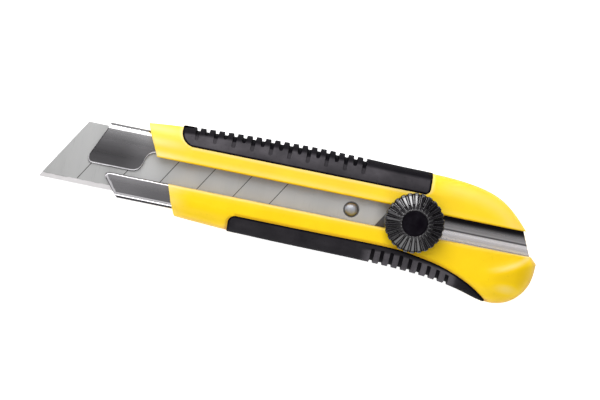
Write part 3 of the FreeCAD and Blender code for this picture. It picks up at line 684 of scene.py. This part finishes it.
def notchColumns(first, pitch, count, wide):
    # Column places over a row of notches: close pairs at both walls of each, and one between.
    offsets = np.array([-1.12, -0.96, -0.80, -0.27, 0.27, 0.80, 0.96, 1.12]) * wide / 2
    centres = first + wide / 2 + np.arange(count) * pitch
    between = centres[:-1] + pitch / 2
    return np.sort(np.concatenate([(centres[:, None] + offsets).ravel(), between])), centres


def notchSink(x, y, centres, wide, low):
    # One inside a notch, none outside, with a soft wall; the bottom end of each notch is round:
    # it begins w/2 - sqrt((w/2)^2 - dx^2) later at a distance dx from the middle.
    gap = x[..., None] - centres
    nearest = np.argmin(np.abs(gap), -1)
    away = np.abs(np.take_along_axis(gap, nearest[..., None], -1)[..., 0])
    inside = np.interp(away, [0.40 * wide, 0.48 * wide, 0.56 * wide], [1.0, 0.5, 0.0])
    late = wide / 2 - np.sqrt(np.clip((wide / 2) ** 2 - away ** 2, 0.0, None))
    return inside * smooth(y - np.take(low, nearest) - late, -0.3, 0.3)


def gripSkin(x, y, sink, edgeY, slope, isUpper, isFront):
    # The handle's rounded block again, moved inwards along its own normal by the sink.
    radius = handle["round"]
    length = np.sqrt(1 + slope ** 2)
    distance = np.abs(edgeY - y) / length
    sine = np.clip((radius - distance) / radius, 0.0, 1.0)
    cosine = np.sqrt(1 - sine ** 2)
    out = 1.0 if isUpper else -1.0
    fall = roundDrop(distance, radius) + sink * cosine
    height = grips["top"] - fall if isFront else grips["low"] + fall
    return np.stack([x + out * slope / length * sink * sine, y - out * sink * sine / length, height], -1)


def fingerLow(x):
    # Where the finger grooves begin below the middle of the knife: later with the square of the place.
    return grips["fingerLow"] + grips["fingerBend"] * np.clip(x - grips["fingerBendFrom"], 0.0, None) ** 2


# tones of the grips, which paint light and shade: a pair of lists is (places in mm, tones there), a rise is
# (start, end)
gripPaintedLight = {
    "upper": {"across": ([0.0, 2.4, 3.3, 5.2, 8.6], [0.06, 0.10, 0.85, 0.95, 0.60]),
              "along": ([-45.0, -10.0, 25.0, 50.0], [1.25, 1.0, 0.95, 0.60]), "rim": (0.60, 0.95),
              "toothFrom": 17.0, "toothShade": 0.8, "slotShade": 0.38},
    "lower": {"across": ([0.0, 1.5, 4.0, 9.0], [0.10, 0.22, 0.30, 0.20]), "rim": (0.50, 0.80),
              "tailLoss": 0.6, "tailRise": (66.0, 74.0), "crest": 0.85, "crestRise": (0.2, 1.4),
              "crestStart": (32.6, 34.0), "crestEnd": (67.5, 70.0), "grooveShade": 0.95},
}


def paintUpperGripLight(x, y, distance, inside, notch):
    # Painted shade on the teeth, in the long slots and at the rim; a painted highlight makes the broad band
    # greyer where its rounding turns to the light, lighter towards the front and darker towards the rear.
    t = gripPaintedLight["upper"]
    band = np.interp(distance, *t["across"]) * np.interp(x, *t["along"])
    dark = np.where(y > t["toothFrom"], t["toothShade"], t["slotShade"])
    return band * smooth(inside, *t["rim"]) * (1 - dark * notch)


def paintLowerGripLight(x, y, distance, inside, notch):
    # Dark all over; a painted highlight makes the crests between the finger grooves greyer, with painted
    # shade in the grooves and at the rim, and darker towards the tail.
    t = gripPaintedLight["lower"]
    crest = smooth(np.abs(y) - fingerLow(x), *t["crestRise"]) * smooth(x, *t["crestStart"])
    crest = crest * (1 - smooth(x, *t["crestEnd"]))
    band = np.interp(distance, *t["across"]) * (1 - t["tailLoss"] * smooth(x, *t["tailRise"]))
    return (band + t["crest"] * crest) * smooth(inside, *t["rim"]) * (1 - t["grooveShade"] * notch)


def buildGrip(name, columns, edgeOf, endsOf, line, centres, wide, depth, notchLow, blend):
    # Columns follow the knife and rows run from the grip's edge on the front, over the side, to its
    # edge on the back. Near the ends the columns are squeezed to follow the curved ends.
    isUpper = name == "upper_grip"
    sign = 1.0 if isUpper else -1.0
    near = np.array([0.0, 0.03, 0.1, 0.22, 0.4, 0.65])
    body = np.arange(1.0, 6.3, 0.27)
    last = (1 - np.linspace(0, 1, 12)[1:]) ** 2
    nominal = np.array(columns)
    slopeLine = np.gradient(line[:, 1], line[:, 0])
    x = np.broadcast_to(nominal[:, None], (len(nominal), len(near) + len(body) + len(last)))
    # two passes: the rows depend on the outline at each place, and that place on the squeeze
    for _ in range(2):
        edgeY = np.interp(x, line[:, 0], line[:, 1])
        border = edgeOf(x)
        width = np.abs(edgeY - border)
        scale = np.minimum(1.0, width[:, :1] / grips["narrow"])
        fixed = np.concatenate([near, body])[None] * scale
        rest = width[:, :1] - (width[:, :1] - fixed[:, -1:]) * last[None]
        inward = np.concatenate([fixed, rest], 1)
        y = border + sign * inward
        front, rear = endsOf(y)
        start, end = nominal[0], nominal[-1]
        head = front + (nominal[:, None] - start) / (blend[0] - start) * (blend[0] - front)
        tail = rear - (end - nominal[:, None]) / (end - blend[1]) * (rear - blend[1])
        x = np.where(nominal[:, None] < blend[0], head,
                     np.where(nominal[:, None] > blend[1], tail, nominal[:, None]))
    edgeY = np.interp(x, line[:, 0], line[:, 1])
    slope = np.interp(x, line[:, 0], slopeLine)
    step = np.gradient(y, axis=1)
    slant = np.gradient(front, axis=1) / np.where(np.abs(step) < 1e-6, 1e-6, step)
    ahead = (x - front) / np.sqrt(1 + slant ** 2)
    inside = np.minimum(np.abs(y - border), np.minimum(ahead, rear - x))
    rolled = roundDrop(np.clip(inside, 0.0, None), grips["rolled"])
    notch = notchSink(np.broadcast_to(nominal[:, None], y.shape), np.abs(y), centres, wide, notchLow)
    notch = notch * smooth(inside, *grips["upperRim" if isUpper else "lowerRim"])
    # the long slots of the upper grip are shallow where they run down the face
    face = grips["faceDepth"] if isUpper else 1.0
    deep = depth * (face + (1 - face) * smooth(np.abs(y), *grips["faceRise"]))
    sheets = []
    for extra in (0.0, grips["skin"]):
        sink = rolled + deep * notch + extra
        faces = [gripSkin(x, y, sink, edgeY, slope, isUpper, isFront) for isFront in (True, False)]
        sheets.append(np.concatenate([faces[0], faces[1][:, ::-1]], 1))
    distance = np.abs(edgeY - y) / np.sqrt(1 + slope ** 2)
    tone = (paintUpperGripLight if isUpper else paintLowerGripLight)(x, y, distance, inside, notch)
    tone = np.concatenate([tone, tone[:, ::-1]], 1)
    skin = thickSheet(*[np.dstack([sheet, tone]) for sheet in sheets])
    makePiece(name + "_skin", skin, "blackGrip", "handle", [name], 30.0)


def buildGrips():
    # Columns stand close at both ends and over the notches, and evenly elsewhere.
    g = grips
    ends = np.array([0.0, 0.03, 0.1, 0.22, 0.4, 0.65, 1.0, 1.5, 2.2, 3.0, 3.8])
    teeth, centres = notchColumns(g["toothFront"], g["toothPitch"], g["toothCount"], g["toothWide"])
    start = g["upperFront"] + ends[:9] * 1.7
    rest = np.arange(teeth[-1] + 1.5, g["upperRear"] - 5.0, 2.0)
    columns = np.concatenate([start, teeth, rest, g["upperRear"] - ends[::-1]])
    low = np.where(np.arange(g["toothCount"]) % 2 == 0, g["longTooth"], g["shortTooth"])
    buildGrip("upper_grip", columns, lambda x: np.full_like(x, g["upperEdge"]), upperGripEnds, upperLine,
              centres, g["toothWide"], g["toothDepth"], low, g["upperBlend"])
    teeth, centres = notchColumns(g["fingerFront"], g["fingerPitch"], g["fingerCount"], g["fingerWide"])
    columns = np.concatenate([g["lowerFront"] + ends, np.arange(-17.0, 33.0, 2.5), teeth,
                              np.arange(teeth[-1] + 1.0, g["lowerRear"] - 1.0, 1.0),
                              g["lowerRear"] - ends[6::-1]])
    buildGrip("lower_grip", columns, lowerGripEdge, lowerGripEnds, lowerLine,
              centres, g["fingerWide"], g["fingerDepth"], fingerLow(centres), g["lowerBlend"])


buildGrips()

guide = {
    "half": 14.35, "low": 5.6, "high": 10.2, "sheet": 0.8, "fold": 2.2,
    "upperLip": [(-81.9, -0.1), (-81.95, -1.2), (-81.6, -2.2), (-80.9, -2.7), (-80.0, -2.8), (-64.6, -2.8),
                 (-63.0, -2.6), (-61.6, -1.8), (-60.75, -0.6), (-60.2, 0.9), (-59.9, 2.2), (-59.4, 3.5),
                 (-58.6, 4.7), (-57.4, 5.6), (-55.9, 6.05), (-54.5, 6.1), (91.0, 6.1)],
    "upperFold": [-76.3, -75.9, -75.4, -74.9, -74.2, -66.0, -64.4, -62.9, -61.8, -60.9, -60.3, -59.7,
                  -58.9, -57.6, -55.9, -54.5, 83.4],
    "upperSteps": [3, 2, 2, 2, 12, 3, 3, 3, 3, 3, 3, 3, 3, 3, 2, 70],
    "lowerSteps": [2, 2, 2, 2, 20],
    "lowerLip": [(-73.9, -6.9), (-74.1, -6.4), (-73.9, -5.8), (-73.4, -5.3), (-72.5, -5.0), (-60.0, -5.0),
                 (96.0, -5.0)],
    "lowerFold": [-69.7, -69.5, -69.2, -68.9, -68.4, -58.0, 96.0],
    "frontLine": [(-15.35, -67.0), (-12.15, -69.7), (-6.5, -74.1), (-3.9, -79.5), (-3.0, -81.5),
                  (-0.1, -81.9), (12.15, -76.3), (15.35, -75.4)],
    # distance across the floor and its tone: painted shade under the upper rail, then a painted bright
    # reflection with a thin dark line in it
    "floorPaintedLight": [(4.8, 0.0), (3.4, 0.0), (2.8, 0.02), (2.3, 0.09), (1.8, 0.20), (1.2, 0.29), (0.3, 0.31),
                  (-0.1, 0.42), (-0.4, 0.22), (-0.75, 0.05), (-1.0, 0.30), (-1.25, 0.80), (-1.9, 0.88),
                  (-2.6, 0.74), (-3.4, 0.68), (-4.2, 0.84), (-4.8, 0.70)],
    "tailLine": [(-15.35, 95.7), (-4.8, 96.9), (4.8, 92.6), (9.3, 87.1), (15.35, 79.6)],
    # round the folds, by degrees of turn: a painted highlight on the outside, painted shade where it faces
    # down; the lower quarter of each fold, next to the floor, takes a middling painted shade
    "upperFoldPaintedLight": ([0, 38, 46, 90], [1.0, 1.0, 0.10, 0.06]),
    "lowerFoldPaintedLight": ([0, 30, 38, 90], [1.0, 1.0, 0.01, 0.01]),
    "innerFoldShade": 0.3,
    # over a lip's rolled edge: how far in, how far down and its tone, painted shade at the very edge and a
    # painted highlight over the roll; past it lies the plate
    "lipReach": [0.0, 0.14, 0.26, 0.36, 0.62, 0.76, 1.4],
    "lipDrop": [0.62, 0.34, 0.12, 0.03, 0.0, 0.0, 0.0],
    "lipPaintedLight": [0.0, 0.0, 0.95, 1.0, 1.0, 0.0, 0.0],
    "lipPlate": 5, "plateSteps": 8, "foldGap": 0.10, "shortLip": 2.5,
    # the upper plate's tone by its place across, and the lower one's, with their fronts' lines: a painted
    # reflection darker than the folds, painted shade at the cut fronts and a painted highlight just behind
    # the lower front
    "upperPlate": ([-3, 2, 6, 9, 12], [0.11, 0.085, 0.13, 0.25, 0.38]),
    "upperGain": 0.06, "upperRise": (-70, -60), "upperFront": ((-81.9, -0.1), (-76.3, 12.15)),
    "upperBorder": ([0.0, 0.12, 0.3], [0.0, 0.05, 1.0]),
    "lowerPlate": ([-12, -5], [0.30, 0.40]),
    "lowerLoss": 0.07, "lowerRise": (-66, -52), "lowerFront": ((-69.7, -12.15), (-74.1, -6.4)),
    "lowerBorder": ([0.0, 0.1, 0.3], [0.1, 0.2, 1.0]), "lowerHighlight": 1.0,
}


def stationLine(points, folds, steps):
    # Matching places along a lip's edge and along its fold, with the same steps between each pair.
    points = np.array(points, float)
    marks = np.arange(len(points), dtype=float)
    share = np.concatenate([np.linspace(marks[i], marks[i + 1], count, endpoint=False)
                            for i, count in enumerate(steps)] + [[marks[-1]]])
    lip = np.stack([np.interp(share, marks, points[:, c]) for c in (0, 1)], -1)
    return lip, np.interp(share, marks, folds)


def behindLine(x, y, ends):
    # How far a place lies to the rear of the straight line through two points.
    (startX, startY), (endX, endY) = ends
    along = (x - startX) * (endY - startY) - (y - startY) * (endX - startX)
    return along / math.hypot(endX - startX, endY - startY)


def paintPlateLight(x, y, isUpper):
    # A lip's flat face: a painted reflection, darker than the folds and changing slowly across and along,
    # with painted shade at its cut front and, on the lower lip, a painted highlight just behind it.
    g = guide
    if isUpper:
        plate = np.interp(y, *g["upperPlate"]) + g["upperGain"] * smooth(x, *g["upperRise"])
        return plate * np.interp(behindLine(x, y, g["upperFront"]), *g["upperBorder"])
    plate = np.interp(y, *g["lowerPlate"]) - g["lowerLoss"] * smooth(x, *g["lowerRise"])
    behind = behindLine(x, y, g["lowerFront"])
    return np.where(behind < g["lowerHighlight"], 1.0, plate) * np.interp(behind, *g["lowerBorder"])


def buildGuide():
    # A sheet folded over at both sides. Rows follow the knife; columns run across the sheet from the
    # upper lip's edge over the upper fold, the floor and the lower fold to the lower lip's edge.
    g = guide
    fold, sheet, half = g["fold"], g["sheet"], g["half"]
    straight = half - fold
    lip, foldX = stationLine(g["upperLip"], g["upperFold"], g["upperSteps"])
    rows = len(lip)
    share = (foldX - foldX[0]) / (foldX[-1] - foldX[0])
    steps = g["lowerSteps"] + [rows - 1 - sum(g["lowerSteps"])]
    lowerLip, lowerX = stationLine(g["lowerLip"], g["lowerFold"], steps)
    lowerShare = (lowerX - lowerX[0]) / (lowerX[-1] - lowerX[0])
    front, tail = np.array(g["frontLine"]), np.array(g["tailLine"])
    bend = np.linspace(0, math.pi / 2, 13)
    floorY = np.concatenate([np.linspace(straight, 5.4, 6)[1:], np.array(g["floorPaintedLight"])[:, 0],
                             np.linspace(-5.4, -straight, 6)[:-1]])
    floorPaintedLight = np.interp(floorY, np.array(g["floorPaintedLight"])[::-1, 0], np.array(g["floorPaintedLight"])[::-1, 1])
    turn = np.degrees(bend)
    inner = np.full(len(bend), g["innerFoldShade"])
    # across the sheet: the folds' and the floor's painted light and shade
    middlePaintedLight = np.concatenate([np.interp(turn, *g["upperFoldPaintedLight"]), inner, floorPaintedLight, inner,
                                 np.interp(turn, *g["lowerFoldPaintedLight"])[::-1]])
    near, plain = np.array(g["lipReach"]), np.zeros(g["plateSteps"] + 1)
    column = np.arange(len(near) + len(plain))
    isPlate = (column >= g["lipPlate"]) & (column < len(column) - 1)
    sheets, tones = [], []
    for inset in (0.0, sheet):
        r, high, low = fold - inset, g["high"] - inset, g["low"] + inset
        # the inner sheet has no rolled edge, and its lips are painted wholly in shade
        outside = 1.0 if inset == 0.0 else 0.0
        arcY = np.concatenate([straight + r * np.sin(bend), straight + r * np.cos(bend)])
        arcZ = np.concatenate([high - r + r * np.cos(bend), low + r - r * np.sin(bend)])
        pathY = np.concatenate([arcY, floorY, -arcY[::-1]])
        pathZ = np.concatenate([arcZ, np.full(len(floorY), low), arcZ[::-1]])
        start = np.interp(pathY, front[:, 0], front[:, 1])
        end = np.interp(pathY, tail[:, 0], tail[:, 1])
        mix = 1 - smooth(pathY, -straight, straight)
        rowShare = share[:, None] + mix * (lowerShare - share)[:, None]
        pathX = start + rowShare * (end - start)
        middle = np.stack([pathX, np.broadcast_to(pathY, pathX.shape),
                           np.broadcast_to(pathZ, pathX.shape)], -1)
        halves = []
        for edge, foot, side in ((lip, 0, straight), (lowerLip, -1, -straight)):
            # from the lip's edge: close columns over its rolled edge, then even steps to the fold
            fixed = np.stack([pathX[:, foot], np.full(rows, side)], -1)
            reach = np.linalg.norm(fixed - edge, axis=1)[:, None]
            close = near * np.minimum(1.0, reach / g["shortLip"])
            step = np.linspace(0, 1, g["plateSteps"] + 1)[1:]
            even = close[:, -1:] + step * (reach - g["foldGap"] - close[:, -1:])
            along = np.concatenate([close, even, reach], 1)
            plan = edge[:, None] + (along / reach)[..., None] * (fixed - edge)[:, None]
            drop = np.concatenate([np.array(g["lipDrop"]) * outside, plain])
            height = np.broadcast_to(high - drop, plan.shape[:2])
            own = np.concatenate([g["lipPaintedLight"], plain])
            tone = np.where(isPlate, paintPlateLight(plan[..., 0], plan[..., 1], side > 0), own)
            tone[:, -1] = 1.0
            halves.append((np.concatenate([plan, height[..., None]], -1), tone * outside))
        (upper, upperTone), (lower, lowerTone) = halves
        sheets.append(np.concatenate([upper[:, :-1], middle, lower[:, -2::-1]], 1))
        tones.append(np.concatenate([upperTone[:, :-1], np.broadcast_to(middlePaintedLight, pathX.shape),
                                     lowerTone[:, -2::-1]], 1))
    skin = thickSheet(*[np.dstack(pair) for pair in zip(sheets, tones)])
    makePiece("guide_sheet", skin, "guideSteel", "handle", ["blade_guide"], 40.0)


buildGuide()

wheel = {
    "centre": (48.6, -0.3), "half": 11.75, "hub": 5.0, "low": 18.75, "rimTop": 23.6, "hubTop": 26.55,
    "ribs": 26, "grooveDeep": 1.1, "rimDeep": 0.42, "bore": 4.62, "seat": 25.7,
    "ribSteps": 20, "crest": 0.20, "groove": 0.44, "rimRound": 0.75, "collar": 0.35, "arch": 1.07,
    "deepStart": 0.35, "deepRise": (0.0, 0.4), "deepFade": (-0.06, 0.1), "side": (21.0, 20.2),
    "gap": 0.08, "capTurn": 96,
    "capProfile": [(0.4, 25.75), (4.3, 25.75), (4.85, 25.8), (4.88, 26.1), (4.8, 26.3), (4.6, 26.4),
                   (4.2, 26.42), (3.4, 26.38), (2.4, 26.34), (1.2, 26.32), (0.4, 26.32)],
}


def ribWave(angle):
    # Zero over a rib's broad crest and one in the groove, by the share of a pitch from the crest's middle.
    share = (angle * wheel["ribs"] / (2 * math.pi)) % 1.0
    return smooth(np.minimum(share, 1 - share), wheel["crest"], wheel["groove"])


def buildWheel():
    # The top falls from the hub to the rim in a shallow arch, and the ribs ripple it with a depth
    # that grows from the hub outwards; the rim's radius ripples in step.
    w = wheel
    low, bore, seat, hub, soft = w["low"], w["bore"], w["seat"], w["hub"], w["rimRound"]
    count = w["ribs"] * w["ribSteps"]
    wave = ribWave(np.arange(count) * 2 * math.pi / count)
    share = np.linspace(0, 1, 18)
    top = w["half"] - soft
    r = hub + w["collar"] + share * (top - hub - w["collar"])
    z = w["hubTop"] - (w["hubTop"] - w["rimTop"]) * share ** w["arch"]
    grown = w["deepStart"] + (1 - w["deepStart"]) * smooth(share, *w["deepRise"])
    deep = w["grooveDeep"] * grown * smooth(share, *w["deepFade"])
    radius, height = [r[:, None] + 0 * wave], [z[:, None] - deep[:, None] * wave]
    turn = np.linspace(0, math.pi / 2, 7)[1:]
    rim = top + soft * np.sin(turn)
    radius.append(rim[:, None] - (w["rimDeep"] * np.sin(turn))[:, None] * wave)
    height.append((w["rimTop"] - soft * (1 - np.cos(turn)))[:, None]
                  - (w["grooveDeep"] * np.cos(turn))[:, None] * wave)
    down = np.array(w["side"])
    radius.append(w["half"] - w["rimDeep"] * wave[None] + 0 * down[:, None])
    height.append(down[:, None] + 0 * wave)
    # under the rim to the bore, up the bore to the cap's seat and out round the cap
    under = np.array([(11.45, 19.6), (10.9, 19.0), (10.4, low), (8.0, low), (bore + 0.3, low),
                      (bore, low + 0.3), (bore, 23.0), (bore, seat), (hub - w["gap"], seat),
                      (hub - w["gap"], 26.1), (hub, 26.3), (hub + 0.12, 26.45)])
    radius.append(under[:, :1] + 0 * wave)
    height.append(under[:, 1:] + 0 * wave)
    skin = turnedSkin(np.concatenate(radius), np.concatenate(height), count, w["centre"], closed=True)
    makePiece("wheel_ribbed", skin, "blackWheel", "wheel", ["lock_wheel"], 50.0)
    # the cap is a shallow dished disc with a soft edge
    profile = np.array(w["capProfile"])
    skin = turnedSkin(profile[:, :1], profile[:, 1:], w["capTurn"], w["centre"])
    makePiece("hub_disc", skin, "hubBlack", "wheel", ["hub_cap"], 40.0)


buildWheel()

pin = {
    "centre": (23.9, -0.4), "half": 2.7, "neck": 2.0, "low": 6.6, "seat": 7.8, "crown": 9.75,
    "crownDrop": 0.62, "crownPower": 2.4, "edgeSoft": 0.15, "collar": [(0.04, 9.02), (0.0, 8.85)],
    "turn": 64,
}


def buildPin():
    # A riveted head: a low dome, its height falling with a power of the radius, over a short collar.
    p = pin
    r = np.linspace(0.12, 1.0, 12) * (p["half"] - p["edgeSoft"])
    dome = p["crown"] - p["crownDrop"] * (r / p["half"]) ** p["crownPower"]
    edge = [(p["half"] - inset, height) for inset, height in p["collar"]]
    edge += [(p["half"], p["seat"]), (p["neck"], p["seat"]), (p["neck"], p["low"]), (0.3, p["low"])]
    radius = np.concatenate([r, [e[0] for e in edge]])[:, None]
    height = np.concatenate([dome, [e[1] for e in edge]])[:, None]
    skin = turnedSkin(radius, height, p["turn"], p["centre"])
    makePiece("pin_head", skin, "zincSteel", "slider", ["blade_pin"], 40.0)


buildPin()
